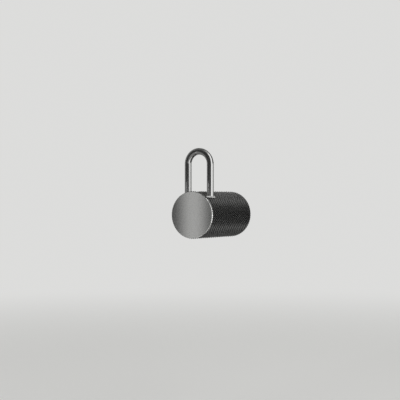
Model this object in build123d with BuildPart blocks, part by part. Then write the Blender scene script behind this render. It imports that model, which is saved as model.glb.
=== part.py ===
from build123d import *
import os
from math import cos, pi, radians, sin, sqrt, tan

# Wall hook: a diamond-knurled steel barrel standing out from the wall on a concealed spigot,
# with a loop of bent rod rising behind its round front disc.
# Frame: the wall is the plane Y = 0, the barrel's axis runs forward along -Y, and +Z is up.

# Barrel, one turned bar
barrel_diameter = 28.0      # over the knurl crests
barrel_length = 49.0
front_chamfer = 0.6
rear_chamfer = 0.7

# Diamond knurl
knurl_count = 64            # diamonds in one ring
knurl_helix = 30.0          # degrees between a groove and the axis
knurl_depth = 0.45

# Loop of bent rod, its legs set in the floor of a notch behind the front disc
rod_diameter = 4.0
leg_breakout = 0.7552       # of each leg's outside beyond the end of the notch floor
loop_height = 28.2          # from the notch floor to the top of the arch
loop_setback = 8.7          # from the front face to the plane of the loop
leg_depth = 6.0             # of the legs below the notch floor
leg_clearance = 0.05        # all round each leg in its hole
leg_chamfer = 0.3           # at both ends of the rod

# Notch across the top of the barrel
notch_depth = 2.9           # below the knurl crests
disc_thickness = 1.2        # the full-round disc left in front of the notch
rod_clearance = 0.1         # between the rod and the notch's rear wall
land_height = 1.0           # plain strip below each end of the notch floor
land_rise = 0.1             # of the plain strip above the knurl crests

# Concealed spigot, screwed to the wall
spigot_diameter = 16.0
spigot_length = 14.0
spigot_clearance = 0.1      # all round in the barrel's bore
spigot_chamfer = 0.6
bore_room = 2.5             # between the spigot's end and the bottom of the bore
groove_depth = 1.0          # right-angled groove for the grub screw's point

# Grub screw, up through the underside of the barrel into the spigot's groove
grub_diameter = 4.0
grub_recess = 1.0           # of its outer end below the knurl crests
grub_setback = 8.0          # from the wall to the screw's axis
grub_socket = 2.0           # across the flats
grub_socket_depth = 2.0
thread_clearance = 0.05
seat_gap = 0.05             # between each screw and its seat

# Wall screw through the spigot
screw_diameter = 4.5
screw_neck_diameter = 3.6   # plain shank under the head
screw_reach = 22.0          # from the wall to the point
screw_point = 5.0
screw_head_diameter = 8.4
screw_head_rim = 0.4        # short cylinder at the edge of the head
screw_hole_clearance = 0.25
head_recess = 0.4           # of the head below the spigot's end
driver_span = 4.6
driver_width = 1.0
driver_depth = 2.0
driver_taper = 10.0         # degrees

crest_radius = barrel_diameter / 2
root_radius = crest_radius - knurl_depth
land_radius = crest_radius + land_rise
rod_radius = rod_diameter / 2
loop_plane = Plane.XZ.offset(barrel_length - loop_setback)

notch_floor = crest_radius - notch_depth
floor_end = sqrt(land_radius**2 - notch_floor**2)
leg_offset = floor_end + leg_breakout - rod_radius
leg_foot = notch_floor - leg_depth
notch_front = barrel_length - disc_thickness
notch_rear = barrel_length - loop_setback - rod_radius - rod_clearance
notch_plane = Plane.XZ.offset(notch_rear)
notch_length = notch_front - notch_rear

spigot_radius = spigot_diameter / 2
bore_radius = spigot_radius + spigot_clearance
bore_depth = spigot_length + bore_room
groove_radius = spigot_radius - groove_depth
grub_point = groove_radius + seat_gap
spigot_front = Plane.XZ.offset(spigot_length)
head_level = spigot_length - head_recess
screw_head_radius = screw_head_diameter / 2
screw_neck_radius = screw_neck_diameter / 2
screw_radius = screw_diameter / 2
screw_hole_radius = screw_radius + screw_hole_clearance
sink_radius = screw_head_radius + screw_head_rim + head_recess + seat_gap

# Rows of groove crossings along the bar, a whole number of them
knurl_pitch = pi * barrel_diameter / knurl_count
knurl_rows = round(2 * barrel_length * tan(radians(knurl_helix)) / knurl_pitch)


def knurl_point(step, row):
    """A point of the knurl's net: groove crossings and crests take turns along each row."""
    radius = crest_radius if (step + row) % 2 else root_radius
    angle = step * pi / knurl_count
    along = row * barrel_length / knurl_rows
    return Vector(radius * cos(angle), -along, radius * sin(angle))


def facet(net_places):
    """A flat face through points of the net."""
    return Face(Wire.make_polygon([knurl_point(*place) for place in net_places]))


def knurled_bar():
    """The bar with a four-sided pyramid on each diamond between the crossing grooves."""
    steps = range(2 * knurl_count)
    facets = [facet([(step, row) for step in steps]) for row in (0, knurl_rows)]
    for row in range(knurl_rows + 1):
        for step in range((row + 1) % 2, 2 * knurl_count, 2):
            corners = [(step + 1, row), (step, row + 1), (step - 1, row), (step, row - 1)]
            for corner, following in zip(corners, corners[1:] + corners[:1]):
                if all(0 <= place[1] <= knurl_rows for place in (corner, following)):
                    facets.append(facet([(step, row), corner, following]))
    return Solid(Shell(facets))


def edge_cut(face_level, outward, width):
    """Profile outside a 45 degree chamfer on one end of the bar, to be turned about Y."""
    overrun = 2 * width
    corner = (crest_radius - width, face_level)
    outer = crest_radius + overrun
    Polyline(
        corner,
        (outer, face_level - outward * (width + overrun)),
        (outer, face_level + outward * overrun),
        (corner[0], face_level + outward * overrun),
        close=True,
    )


# Everything that is cut from the knurled bar
with BuildPart() as barrel_cuts:
    with BuildSketch(Plane.XY):
        with BuildLine():
            edge_cut(-barrel_length, -1, front_chamfer)
        make_face()
        with BuildLine():
            edge_cut(0, 1, rear_chamfer)
        make_face()
    revolve(axis=Axis.Y)
    with BuildSketch(notch_plane):
        with Locations((0, notch_floor)):
            Rectangle(2 * barrel_diameter, barrel_diameter, align=(Align.CENTER, Align.MIN))
    extrude(amount=notch_length)
    with BuildSketch(Plane.XY.offset(leg_foot)):
        with Locations((0, loop_setback - barrel_length)):
            with GridLocations(2 * leg_offset, 0, 2, 1):
                Circle(rod_radius + leg_clearance)
    extrude(amount=leg_depth + notch_depth)
    with BuildSketch(Plane.XZ):
        Circle(bore_radius)
    extrude(amount=bore_depth)
    with BuildSketch(Plane.XY):
        with Locations((0, -grub_setback)):
            Circle(grub_diameter / 2 + thread_clearance)
    extrude(amount=-barrel_diameter)

with BuildPart() as barrel:
    add(knurled_bar())
    with BuildSketch(notch_plane):
        Circle(land_radius)
        with Locations((0, notch_floor)):
            Rectangle(
                2 * barrel_diameter,
                land_height,
                align=(Align.CENTER, Align.MAX),
                mode=Mode.INTERSECT,
            )
    extrude(amount=notch_length)
    add(barrel_cuts.part, mode=Mode.SUBTRACT)

with BuildPart() as loop:
    arch_centre = notch_floor + loop_height - rod_radius - leg_offset
    with BuildLine(loop_plane):
        Line((-leg_offset, leg_foot), (-leg_offset, arch_centre))
        ThreePointArc(
            (-leg_offset, arch_centre),
            (0, arch_centre + leg_offset),
            (leg_offset, arch_centre),
        )
        Line((leg_offset, arch_centre), (leg_offset, leg_foot))
    with BuildSketch(Plane.XY.offset(leg_foot)):
        with Locations((-leg_offset, loop_setback - barrel_length)):
            Circle(rod_radius)
    sweep()
    feet = loop.edges().filter_by(GeomType.CIRCLE).group_by(Axis.Z)[0]
    chamfer(feet, leg_chamfer)

with BuildPart() as spigot:
    with BuildSketch(Plane.XZ):
        Circle(spigot_radius)
    extrude(amount=spigot_length)
    chamfer(spigot.edges().group_by(Axis.Y)[0], spigot_chamfer)
    with BuildSketch(Plane.XY):
        with BuildLine():
            Polyline(
                (groove_radius, -grub_setback),
                (spigot_radius + groove_depth, -grub_setback - 2 * groove_depth),
                (spigot_radius + groove_depth, -grub_setback + 2 * groove_depth),
                close=True,
            )
        make_face()
    revolve(axis=Axis.Y, mode=Mode.SUBTRACT)
    with Locations(spigot_front):
        CounterSinkHole(
            screw_hole_radius,
            sink_radius,
            depth=spigot_length,
            counter_sink_angle=90,
        )

with BuildPart() as grub_screw:
    grub_radius = grub_diameter / 2
    cone_base = grub_point + grub_radius
    grub_end = crest_radius - grub_recess
    with BuildSketch(Plane.YZ):
        with BuildLine():
            Polyline(
                (-grub_setback, -grub_point),
                (-grub_setback + grub_radius, -cone_base),
                (-grub_setback + grub_radius, -grub_end),
                (-grub_setback, -grub_end),
                close=True,
            )
        make_face()
    revolve(axis=Axis((0, -grub_setback, 0), (0, 0, 1)))
    with BuildSketch(Plane.XY.offset(-grub_end)):
        with Locations((0, -grub_setback)):
            RegularPolygon(grub_socket / 2, 6, major_radius=False)
    extrude(amount=grub_socket_depth, mode=Mode.SUBTRACT)

with BuildPart() as wall_screw:
    cone_end = head_level - screw_head_rim - screw_head_radius + screw_neck_radius
    with BuildSketch(Plane.XY):
        with BuildLine():
            Polyline(
                (0, -head_level),
                (screw_head_radius, -head_level),
                (screw_head_radius, -head_level + screw_head_rim),
                (screw_neck_radius, -cone_end),
                (screw_neck_radius, 0),
                (screw_radius, 0),
                (screw_radius, screw_reach - screw_point),
                (0, screw_reach),
                close=True,
            )
        make_face()
    revolve(axis=Axis.Y)
    with BuildSketch(Plane.XZ.offset(head_level)):
        Rectangle(driver_span, driver_width)
        Rectangle(driver_width, driver_span)
    extrude(amount=-driver_depth, taper=driver_taper, mode=Mode.SUBTRACT)

pieces = {
    "barrel": barrel,
    "loop": loop,
    "spigot": spigot,
    "grub_screw": grub_screw,
    "wall_screw": wall_screw,
}

os.makedirs("parts", exist_ok=True)
for name, piece in pieces.items():
    piece.part.label = name
    export_step(piece.part, f"parts/{name}.step")
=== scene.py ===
import math

import bmesh
import bpy
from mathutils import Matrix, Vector


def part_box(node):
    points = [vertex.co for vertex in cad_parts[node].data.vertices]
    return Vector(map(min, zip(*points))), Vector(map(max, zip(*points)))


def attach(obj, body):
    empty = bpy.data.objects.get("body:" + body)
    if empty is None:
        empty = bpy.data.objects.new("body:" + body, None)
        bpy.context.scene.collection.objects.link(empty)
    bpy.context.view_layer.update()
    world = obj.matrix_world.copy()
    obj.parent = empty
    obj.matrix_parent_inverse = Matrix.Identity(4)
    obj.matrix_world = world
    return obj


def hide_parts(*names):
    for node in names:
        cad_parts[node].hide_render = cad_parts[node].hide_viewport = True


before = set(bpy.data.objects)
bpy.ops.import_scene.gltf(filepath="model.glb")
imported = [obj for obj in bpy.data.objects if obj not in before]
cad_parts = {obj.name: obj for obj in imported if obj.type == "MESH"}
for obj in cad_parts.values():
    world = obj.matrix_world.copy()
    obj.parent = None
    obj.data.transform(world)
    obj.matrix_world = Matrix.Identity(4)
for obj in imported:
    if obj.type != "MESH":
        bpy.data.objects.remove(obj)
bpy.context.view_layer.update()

# Barrel: one steel bar, turned and faced off, diamond-knurled all over its side and notched across
# the top behind the front disc. The face is satin. The cut edges are smoother, and a lighter base colour
# on them is a painted highlight. The milled notch is matt, and a lighter base colour in it is painted
# light. The knurl's grooves carry painted shade, darker than its crests.
MM = 0.001
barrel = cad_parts["barrel"]
barrel_low, barrel_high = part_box("barrel")
front_level = barrel_low.y
crest_radius = (barrel_high.x - barrel_low.x) / 2
knurl_depth = 0.45 * MM
root_radius = crest_radius - knurl_depth
front_chamfer = 0.6 * MM
disc_thickness = 1.2 * MM
notch_depth = 2.9 * MM
notch_floor = crest_radius - notch_depth
rod_clearance = 0.1 * MM
notch_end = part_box("loop")[1].y + rod_clearance - front_level  # its rear wall, from the front face

satin_colour = (0.46, 0.46, 0.45)
satin_roughness = 0.14
# painted highlight: a lighter base colour for the front chamfer and the lands
edge_highlight_colour = (0.74, 0.74, 0.73)
bright_roughness = 0.12
# painted light: a lighter base colour in the notch, lifting its recess
notch_painted_light_colour = (0.60, 0.60, 0.59)
milled_roughness = 0.5
crest_colour = (0.42, 0.42, 0.415)
# painted shade: the knurl's grooves darken to this near black towards their bottom
groove_shade_colour = (0.04, 0.04, 0.04)
knurl_roughness = 0.36
knurl_margin = 0.05 * MM  # of full colour at the bottom of the grooves and the top of the crests
side_start = root_radius - 0.3 * MM  # the knurl's finish starts to show at this radius
side_end = root_radius - 0.1 * MM  # and is complete at this one
blend_near = 0.02 * MM  # a change of finish starts this far past its edge
blend_far = 0.05 * MM  # and ends this far past it
wear_scale = 900.0
wear_roughness = 0.03


def feed(tree, socket, value):
    """Join another socket to this one, or give it a value."""
    if isinstance(value, bpy.types.NodeSocket):
        tree.links.new(value, socket)
    else:
        socket.default_value = value


def node(tree, kind, **settings):
    """A new node with its settings; one named in_Some_Name feeds the input socket Some Name."""
    made = tree.nodes.new(kind)
    for key, value in settings.items():
        if key.startswith("in_"):
            feed(tree, made.inputs[key.removeprefix("in_").replace("_", " ")], value)
        else:
            setattr(made, key, value)
    return made


def new_finish(name):
    """A new material, its node tree and its shader."""
    finish = bpy.data.materials.new(name)
    finish.use_nodes = True
    return finish, finish.node_tree, finish.node_tree.nodes["Principled BSDF"]


def new_metal(name):
    """A metal finish: its material, node tree and shader, and the place of each point of the piece."""
    finish, tree, shader = new_finish(name)
    shader.inputs["Metallic"].default_value = 1.0
    return finish, tree, shader, node(tree, "ShaderNodeTexCoord").outputs["Object"]


def dress(piece, finish):
    """Give a piece its one finish."""
    piece.data.materials.clear()
    piece.data.materials.append(finish)


def math_node(tree, operation, first, second=0.0):
    """The result of a Math node on two inputs, each a socket or a number."""
    made = node(tree, "ShaderNodeMath", operation=operation)
    feed(tree, made.inputs[0], first)
    feed(tree, made.inputs[1], second)
    return made.outputs[0]


def mix_value(tree, factor, first, second):
    """The first value where the factor is 0 and the second where it is 1."""
    step = math_node(tree, "SUBTRACT", second, first)
    return math_node(tree, "ADD", first, math_node(tree, "MULTIPLY", factor, step))


def mix_colour(tree, factor, first, second):
    """The first colour where the factor is 0 and the second where it is 1, each a socket or a triple."""
    made = node(tree, "ShaderNodeMix", data_type="RGBA", in_Factor=factor)
    sockets = [socket for socket in made.inputs if socket.type == "RGBA"]
    for socket, colour in zip(sockets, (first, second)):
        feed(tree, socket, (*colour, 1.0) if isinstance(colour, tuple) else colour)
    return next(socket for socket in made.outputs if socket.type == "RGBA")


def ramp_between(tree, value, low, high, to_low, to_high):
    """The value mapped smoothly from low..high to to_low..to_high."""
    made = node(
        tree,
        "ShaderNodeMapRange",
        interpolation_type="SMOOTHSTEP",
        in_Value=value,
        in_From_Min=low,
        in_From_Max=high,
        in_To_Min=to_low,
        in_To_Max=to_high,
    )
    return made.outputs["Result"]


def past(tree, value, edge):
    """1 where the value is past the edge and 0 elsewhere."""
    return ramp_between(tree, value, edge + blend_near, edge + blend_far, 0.0, 1.0)


def short_of(tree, value, edge):
    """1 where the value is short of the edge and 0 elsewhere."""
    return ramp_between(tree, value, edge + blend_near, edge + blend_far, 1.0, 0.0)


def noise(tree, place, scale, detail=3.0):
    """Noise at a scale in cells to the metre."""
    made = node(tree, "ShaderNodeTexNoise", in_Vector=place, in_Scale=scale, in_Detail=detail)
    return made.outputs["Fac"]


def bump(tree, shader, height, strength, depth):
    """A bump of the shader's normal."""
    made = node(tree, "ShaderNodeBump", in_Height=height, in_Strength=strength, in_Distance=depth)
    tree.links.new(made.outputs["Normal"], shader.inputs["Normal"])


def fine_grain(tree, shader, place, scale, strength, depth, detail=3.0):
    """A fine bump all over the piece."""
    bump(tree, shader, noise(tree, place, scale, detail), strength, depth)


def length_of(tree, vector):
    """The length of a vector."""
    return node(tree, "ShaderNodeVectorMath", operation="LENGTH", in_Vector=vector).outputs["Value"]


def radius_about_y(tree, place):
    """Distance from the barrel's axis."""
    flat = node(tree, "ShaderNodeVectorMath", operation="MULTIPLY", in_Vector=place)
    flat.inputs[1].default_value = (1.0, 0.0, 1.0)
    return length_of(tree, flat.outputs["Vector"])


knurled_satin, tree, shader, place = new_metal("knurled_satin_steel")
split_place = node(tree, "ShaderNodeSeparateXYZ", in_Vector=place)
along = math_node(tree, "SUBTRACT", split_place.outputs["Y"], front_level)
height = split_place.outputs["Z"]
radius = radius_about_y(tree, place)

# Painted shade in the knurl: the tone darkens from the crest colour to a near-black groove colour towards
# the bottom of the grooves.
knurl_rise = ramp_between(tree, radius, root_radius + knurl_margin, crest_radius - knurl_margin, 0.0, 1.0)
knurl_tone_and_groove_shade = mix_colour(tree, knurl_rise, groove_shade_colour, crest_colour)
outside = ramp_between(tree, radius, side_start, side_end, 0.0, 1.0)
on_side = math_node(tree, "MULTIPLY", outside, past(tree, along, 0.0))
side_tone = mix_colour(tree, on_side, satin_colour, knurl_tone_and_groove_shade)

# On the chamfer, at 45 degrees, the radius less the distance behind the face stays the same. The lands,
# a plain strip below each end of the notch floor, stand just above the crests.
chamfer_line = math_node(tree, "SUBTRACT", radius, along)
off_chamfer = math_node(tree, "SUBTRACT", chamfer_line, crest_radius - front_chamfer)
on_chamfer = short_of(tree, math_node(tree, "ABSOLUTE", off_chamfer), 0.0)
on_land = past(tree, radius, crest_radius)
# The chamfer and lands get a lighter base colour, a painted highlight, and a lower roughness, their cut
# finish.
on_highlit_edge = math_node(tree, "MAXIMUM", on_chamfer, on_land)
outer_tone = mix_colour(tree, on_highlit_edge, side_tone, edge_highlight_colour)

# The notch's finish is complete just short of its floor and of the disc's rear face. Its lighter base
# colour is painted light in the recess; its higher roughness is the milled finish.
blend_reach = blend_near + blend_far
over_floor = past(tree, height, notch_floor - blend_reach)
behind_disc = past(tree, along, disc_thickness - blend_reach)
notch_stretch = math_node(tree, "MULTIPLY", behind_disc, short_of(tree, along, notch_end))
in_notch = math_node(tree, "MULTIPLY", over_floor, notch_stretch)
tone = mix_colour(tree, in_notch, outer_tone, notch_painted_light_colour)
tree.links.new(tone, shader.inputs["Base Color"])

rough_side = ramp_between(tree, on_side, 0.0, 1.0, satin_roughness, knurl_roughness)
rough_outer = mix_value(tree, on_highlit_edge, rough_side, bright_roughness)
rough_all = mix_value(tree, in_notch, rough_outer, milled_roughness)
wear = math_node(tree, "MULTIPLY", noise(tree, place, wear_scale), wear_roughness)
tree.links.new(math_node(tree, "ADD", rough_all, wear), shader.inputs["Roughness"])
fine_grain(tree, shader, place, scale=6000.0, strength=0.04, depth=0.01 * MM, detail=2.0)
dress(barrel, knurled_satin)

# Loop: a steel rod bent cold into an upright arch and polished, its legs set into holes drilled in
# the notch floor, close to the barrel's sides.
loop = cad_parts["loop"]
rod_colour = (0.66, 0.66, 0.655)
haze_span = (0.3, 0.7)  # most of the noise lies between these


def hazy_roughness(tree, shader, place, scale, low, high, detail=3.0):
    """Roughness that drifts between two values over the piece."""
    haze = noise(tree, place, scale, detail)
    tree.links.new(ramp_between(tree, haze, *haze_span, low, high), shader.inputs["Roughness"])


polished, tree, shader, place = new_metal("polished_rod_steel")
shader.inputs["Base Color"].default_value = (*rod_colour, 1.0)
hazy_roughness(tree, shader, place, scale=350.0, low=0.08, high=0.12, detail=4.0)
fine_grain(tree, shader, place, scale=4000.0, strength=0.01, depth=0.004 * MM, detail=2.0)
dress(loop, polished)

# Spigot: a steel boss turned from bar, screwed to the wall and hidden in the barrel's bore. Its
# grooved side takes the grub screw's point, and the tool left fine rings on its ends.
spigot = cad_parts["spigot"]
turned_dark = (0.40, 0.40, 0.39)
turned_light = (0.52, 0.52, 0.51)
ring_scale = 900.0
ring_smooth = 0.28
ring_rough = 0.40


def mottled_colour(tree, shader, place, scale, dark, light):
    """A colour that drifts between two over the piece."""
    tone = mix_colour(tree, noise(tree, place, scale), dark, light)
    tree.links.new(tone, shader.inputs["Base Color"])


turned, tree, shader, place = new_metal("turned_spigot_steel")
mottled_colour(tree, shader, place, scale=300.0, dark=turned_dark, light=turned_light)
rings = node(
    tree,
    "ShaderNodeTexWave",
    wave_type="RINGS",
    rings_direction="Y",
    in_Vector=place,
    in_Scale=ring_scale,
)
ring_lines = rings.outputs["Fac"]
ring_roughness = ramp_between(tree, ring_lines, 0.0, 1.0, ring_smooth, ring_rough)
tree.links.new(ring_roughness, shader.inputs["Roughness"])
bump(tree, shader, ring_lines, strength=0.15, depth=0.01 * MM)
dress(spigot, turned)

# Grub screw: a socket set screw of hardened steel with a black oxide finish, driven up from below
# until its point seats in the spigot's groove.
grub_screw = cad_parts["grub_screw"]
oxide_dark = (0.05, 0.05, 0.052)
oxide_light = (0.10, 0.10, 0.10)
oxide, tree, shader, place = new_metal("black_oxide_steel")
mottled_colour(tree, shader, place, scale=1500.0, dark=oxide_dark, light=oxide_light)
hazy_roughness(tree, shader, place, scale=700.0, low=0.35, high=0.5)
fine_grain(tree, shader, place, scale=4000.0, strength=0.1, depth=0.02 * MM)
dress(grub_screw, oxide)

# Wall screw: a countersunk wood screw of zinc-plated steel through the spigot, with a plain neck
# under its cross-recessed head and a coarse rolled thread that runs out at the point.
screw_low, screw_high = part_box("wall_screw")
head_level, point_level = screw_low.y, screw_high.y
head_radius = (screw_high.x - screw_low.x) / 2
head_rim = 0.4 * MM
neck_radius = 1.8 * MM
neck_level = head_level + head_rim + head_radius - neck_radius
core_radius = 1.5 * MM
point_length = 6.0 * MM
thread_radius = 2.25 * MM
thread_pitch = 2.0 * MM
thread_base = 1.2 * MM
thread_start = -1.5 * MM  # just in front of the wall
thread_overlap = 0.3 * MM  # of the thread's foot in the core
thread_runout = 0.5  # turns between the thread's end and the point
recess_reach = 2.3 * MM
recess_half = 0.5 * MM
recess_depth = 2.0 * MM
recess_angle = 10
recess_taper = recess_depth * math.tan(math.radians(recess_angle))
turn_steps = 48
sharp_angle = 35
level_margin = 0.01 * MM
merge_distance = 0.001 * MM
zinc_dark = (0.52, 0.52, 0.50)
zinc_light = (0.64, 0.63, 0.60)


def chain(shape, places, closed=False):
    """New vertices in a row and the edges between them, with one from the last to the first if closed."""
    corners = [shape.verts.new(spot) for spot in places]
    pairs = list(zip(corners, corners[1:]))
    if closed:
        pairs.append((corners[-1], corners[0]))
    return corners, [shape.edges.new(pair) for pair in pairs]


def cross_outline(reach, half, level):
    """The recess's plus-shaped outline in a plane across the screw."""
    arm = [(reach, -half), (reach, half), (half, half)]
    places = []
    for _ in range(4):
        places += [(across, level, up) for across, up in arm]
        arm = [(-up, across) for across, up in arm]
    return places


def add_object(name, data):
    """A new object in the scene."""
    made = bpy.data.objects.new(name, data)
    bpy.context.scene.collection.objects.link(made)
    return made


def mesh_object(name, shape):
    """A new object with the mesh of a finished shape."""
    data = bpy.data.meshes.new(name)
    shape.to_mesh(data)
    shape.free()
    return add_object(name, data)


screw_shape = bmesh.new()
profile = [
    (head_radius, head_level),
    (head_radius, head_level + head_rim),
    (neck_radius, neck_level),
    (neck_radius, thread_start),
    (core_radius, thread_start),
    (core_radius, point_level - point_length),
    (0.0, point_level),
]
corners, edges = chain(screw_shape, [(across, level, 0.0) for across, level in profile])
bmesh.ops.spin(
    screw_shape,
    geom=corners + edges,
    cent=(0, 0, 0),
    axis=(0, 1, 0),
    angle=2 * math.pi,
    steps=turn_steps,
    use_merge=True,
)
head_edges = [
    edge for edge in screw_shape.edges
    if edge.is_boundary and abs(edge.verts[0].co.y - head_level) < level_margin
]
mouth = cross_outline(recess_reach, recess_half, head_level)
bottom = cross_outline(
    recess_reach - recess_taper,
    recess_half - recess_taper,
    head_level + recess_depth,
)
mouth_edges = chain(screw_shape, mouth, closed=True)[1]
bottom_edges = chain(screw_shape, bottom, closed=True)[1]
bmesh.ops.triangle_fill(screw_shape, use_beauty=True, edges=head_edges + mouth_edges)
bmesh.ops.bridge_loops(screw_shape, edges=mouth_edges + bottom_edges)
bmesh.ops.triangle_fill(screw_shape, use_beauty=True, edges=bottom_edges)

core_corners = set(screw_shape.verts)
thread_turns = (point_level - thread_start) / thread_pitch - thread_runout
ridge = [
    (core_radius - thread_overlap, thread_start - thread_base / 2, 0.0),
    (thread_radius, thread_start, 0.0),
    (core_radius - thread_overlap, thread_start + thread_base / 2, 0.0),
]
corners, edges = chain(screw_shape, ridge, closed=True)
bmesh.ops.contextual_create(screw_shape, geom=edges)
bmesh.ops.spin(
    screw_shape,
    geom=corners + edges,
    cent=(0, 0, 0),
    axis=(0, 1, 0),
    dvec=(0, thread_pitch / turn_steps, 0),
    angle=2 * math.pi * thread_turns,
    steps=round(thread_turns * turn_steps),
)
# Along the point, the thread narrows as the core does.
for corner in screw_shape.verts:
    if corner not in core_corners:
        narrowing = min(1.0, (point_level - corner.co.y) / point_length)
        corner.co.x *= narrowing
        corner.co.z *= narrowing
bmesh.ops.remove_doubles(screw_shape, verts=screw_shape.verts, dist=merge_distance)
bmesh.ops.holes_fill(screw_shape, edges=[edge for edge in screw_shape.edges if edge.is_boundary])
bmesh.ops.recalc_face_normals(screw_shape, faces=screw_shape.faces)
threaded_screw = mesh_object("threaded_wall_screw", screw_shape)
threaded_screw.data.shade_smooth()
threaded_screw.data.set_sharp_from_angle(angle=math.radians(sharp_angle))

zinc, tree, shader, place = new_metal("zinc_plated_steel")
mottled_colour(tree, shader, place, scale=600.0, dark=zinc_dark, light=zinc_light)
hazy_roughness(tree, shader, place, scale=900.0, low=0.22, high=0.36)
fine_grain(tree, shader, place, scale=3000.0, strength=0.08, depth=0.02 * MM)
dress(threaded_screw, zinc)
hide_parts("wall_screw")
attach(threaded_screw, "root")

# Studio: a pale floor well below the hook, fading into pale surroundings of the same tone, which light
# it with a soft box at the right, a small lamp for the front edge and one for the front face, kept off
# the loop by a flag. The dark cards round the hook show only in its metal.
pale = (0.80, 0.80, 0.79)
pale_strength = 0.9
floor_level = -0.12
floor_half = 6.0
floor_roughness = 0.9
floor_fade_start = 0.25
floor_fade_end = 0.9
face_centre = Vector((0.0, front_level, 0.0))
camera_azimuth = 29.5
card_steps = 24
card_reach = 0.8
card_foot = -0.3
card_top = 0.9
mirror_split = 0.012  # the front face mirrors what is below this level, the loop what is above it
wall_foot = -0.1
wall_top = 0.1
ceiling_reaches = (0.02, card_reach)
ceiling_levels = (card_top, card_top)
floor_card_reaches = (0.03, card_reach)
floor_card_levels = (-0.11, -0.11)
flag_reaches = (0.05, 0.05)
flag_levels = (0.02, 0.08)


def stage_object(name, shape, finish):
    """A stage mesh, which isn't part of the hook."""
    made = mesh_object(name, shape)
    dress(made, finish)
    return made


def seen_from(azimuth, elevation):
    """Direction from the hook to a place round it: azimuth 0 is straight in front, 90 its right."""
    turn, rise = math.radians(azimuth), math.radians(elevation)
    across, ahead = math.sin(turn) * math.cos(rise), math.cos(turn) * math.cos(rise)
    return Vector((across, -ahead, math.sin(rise)))


def look_against(thing, direction):
    """Turn a lamp or the camera to look the opposite way to a direction."""
    thing.rotation_euler = (-direction).to_track_quat("-Z", "Y").to_euler()


def dark_card(name, tone, azimuths, levels, reaches=(card_reach, card_reach), shades=False):
    """A dark card bent round the hook, with a level and a reach for each of its long edges."""
    finish, _, shader = new_finish(name)
    shader.inputs["Base Color"].default_value = (tone, tone, tone, 1.0)
    shader.inputs["Roughness"].default_value = 1.0
    shader.inputs["Specular IOR Level"].default_value = 0.0
    start, end = azimuths
    out = seen_from(start, 0)
    places = [face_centre + out * reach + Vector((0, 0, level)) for reach, level in zip(reaches, levels)]
    shape = bmesh.new()
    corners, edges = chain(shape, places)
    bmesh.ops.spin(
        shape,
        geom=corners + edges,
        cent=face_centre,
        axis=(0, 0, 1),
        angle=math.radians(end - start),
        steps=card_steps,
    )
    card = stage_object(name, shape, finish)
    card.visible_camera = False
    card.visible_diffuse = False
    card.visible_shadow = shades
    card.visible_transmission = False


def strip_lamp(name, azimuth, elevation, distance, width, height, power):
    """An upright lamp panel that faces the hook."""
    data = bpy.data.lights.new(name, "AREA")
    data.shape = "RECTANGLE"
    data.size = width
    data.size_y = height
    data.energy = power
    lamp = add_object(name, data)
    towards = seen_from(azimuth, elevation)
    lamp.location = face_centre + towards * distance
    look_against(lamp, towards)
    lamp.visible_camera = False


floor_finish, tree, shader = new_finish("pale_floor")
shader.inputs["Base Color"].default_value = (*pale, 1.0)
shader.inputs["Roughness"].default_value = floor_roughness
glow = node(tree, "ShaderNodeEmission", in_Color=(*pale, 1.0), in_Strength=pale_strength)
away = length_of(tree, node(tree, "ShaderNodeTexCoord").outputs["Object"])
fade = ramp_between(tree, away, floor_fade_start, floor_fade_end, 0.0, 1.0)
blend = node(tree, "ShaderNodeMixShader")
for socket, source in zip(blend.inputs, (fade, shader.outputs[0], glow.outputs[0])):
    tree.links.new(source, socket)
tree.links.new(blend.outputs[0], tree.nodes["Material Output"].inputs["Surface"])
floor_shape = bmesh.new()
bmesh.ops.create_grid(floor_shape, x_segments=1, y_segments=1, size=floor_half)
bmesh.ops.translate(floor_shape, verts=floor_shape.verts, vec=(0, 0, floor_level))
stage_object("floor", floor_shape, floor_finish)

world = bpy.data.worlds.new("studio")
world.use_nodes = True
background = world.node_tree.nodes["Background"]
background.inputs["Color"].default_value = (*pale, 1.0)
background.inputs["Strength"].default_value = pale_strength
bpy.context.scene.world = world

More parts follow.
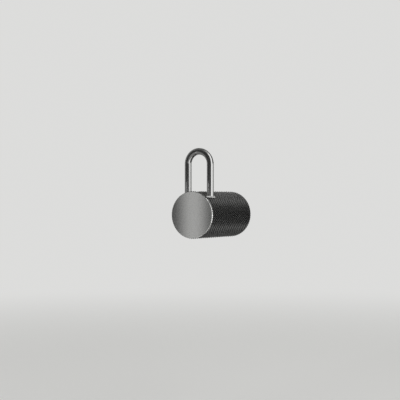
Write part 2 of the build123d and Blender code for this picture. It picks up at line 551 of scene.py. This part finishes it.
# What the metal mirrors: in front, at the left, overhead, at the right, behind and on the floor.
dark_card("front_card", tone=0.07, azimuths=(-50, 58), levels=(mirror_split, card_top))
dark_card("face_left_card", tone=0.07, azimuths=(-50, -13), levels=(card_foot, mirror_split))
dark_card("face_card", tone=0.5, azimuths=(-13, 35), levels=(card_foot, mirror_split))
dark_card("face_right_card", tone=0.25, azimuths=(35, 58), levels=(card_foot, mirror_split))
dark_card("left_card", tone=0.3, azimuths=(-145, -50), levels=(card_foot, card_top))
dark_card("ceiling_card", tone=0.2, azimuths=(108, 408), levels=ceiling_levels, reaches=ceiling_reaches)
dark_card("side_card", tone=0.03, azimuths=(108, 165), levels=(wall_top, card_top))
dark_card("wall_card", tone=0.04, azimuths=(148, 170), levels=(wall_foot, wall_top))
dark_card("rear_upper_card", tone=0.04, azimuths=(170, 215), levels=(mirror_split, wall_top))
dark_card("rear_lower_card", tone=0.25, azimuths=(170, 215), levels=(wall_foot, mirror_split))
for name, tone, azimuths in (
    ("right_floor_card", 0.1, (90, 180)),
    ("rear_floor_card", 0.42, (180, 215)),
    ("front_floor_card", 0.28, (-145, 48)),
):
    dark_card(name, tone, azimuths, floor_card_levels, floor_card_reaches)
dark_card("arch_flag", tone=0.07, azimuths=(-75, 5), levels=flag_levels, reaches=flag_reaches, shades=True)

strip_lamp(
    "face_lamp",
    azimuth=-camera_azimuth,
    elevation=3.6,
    distance=0.16,
    width=0.016,
    height=0.09,
    power=0.0042,
)
strip_lamp("side_box", azimuth=80, elevation=25, distance=0.7, width=0.7, height=1.1, power=1.1)
strip_lamp("edge_lamp", azimuth=60, elevation=-12, distance=0.2, width=0.06, height=0.1, power=0.013)

# Camera: level, to the hook's right and about 0.6 m from its front face, with a long lens. Its place is
# worked out so that the face is as high, and has its centre on the same pixel, as in the photograph.
image_size = 400
face_pixel = (191.75, 215.0)
face_pixel_height = 48.3
camera_lens = 92.0
camera_near = 0.01
camera_data = bpy.data.cameras.new("camera")
camera_data.lens = camera_lens
camera_data.clip_start = camera_near
camera = add_object("camera", camera_data)
pixel = 2 * crest_radius / face_pixel_height
distance = pixel * image_size * camera_lens / camera_data.sensor_width
back = seen_from(camera_azimuth, 0)
right = Vector((0, 0, 1)).cross(back)
sideways = (image_size / 2 - face_pixel[0]) * pixel
upwards = (face_pixel[1] - image_size / 2) * pixel
camera.location = face_centre + back * distance + right * sideways + Vector((0, 0, upwards))
look_against(camera, back)
bpy.context.scene.camera = camera
bpy.context.scene.view_settings.view_transform = "Standard"
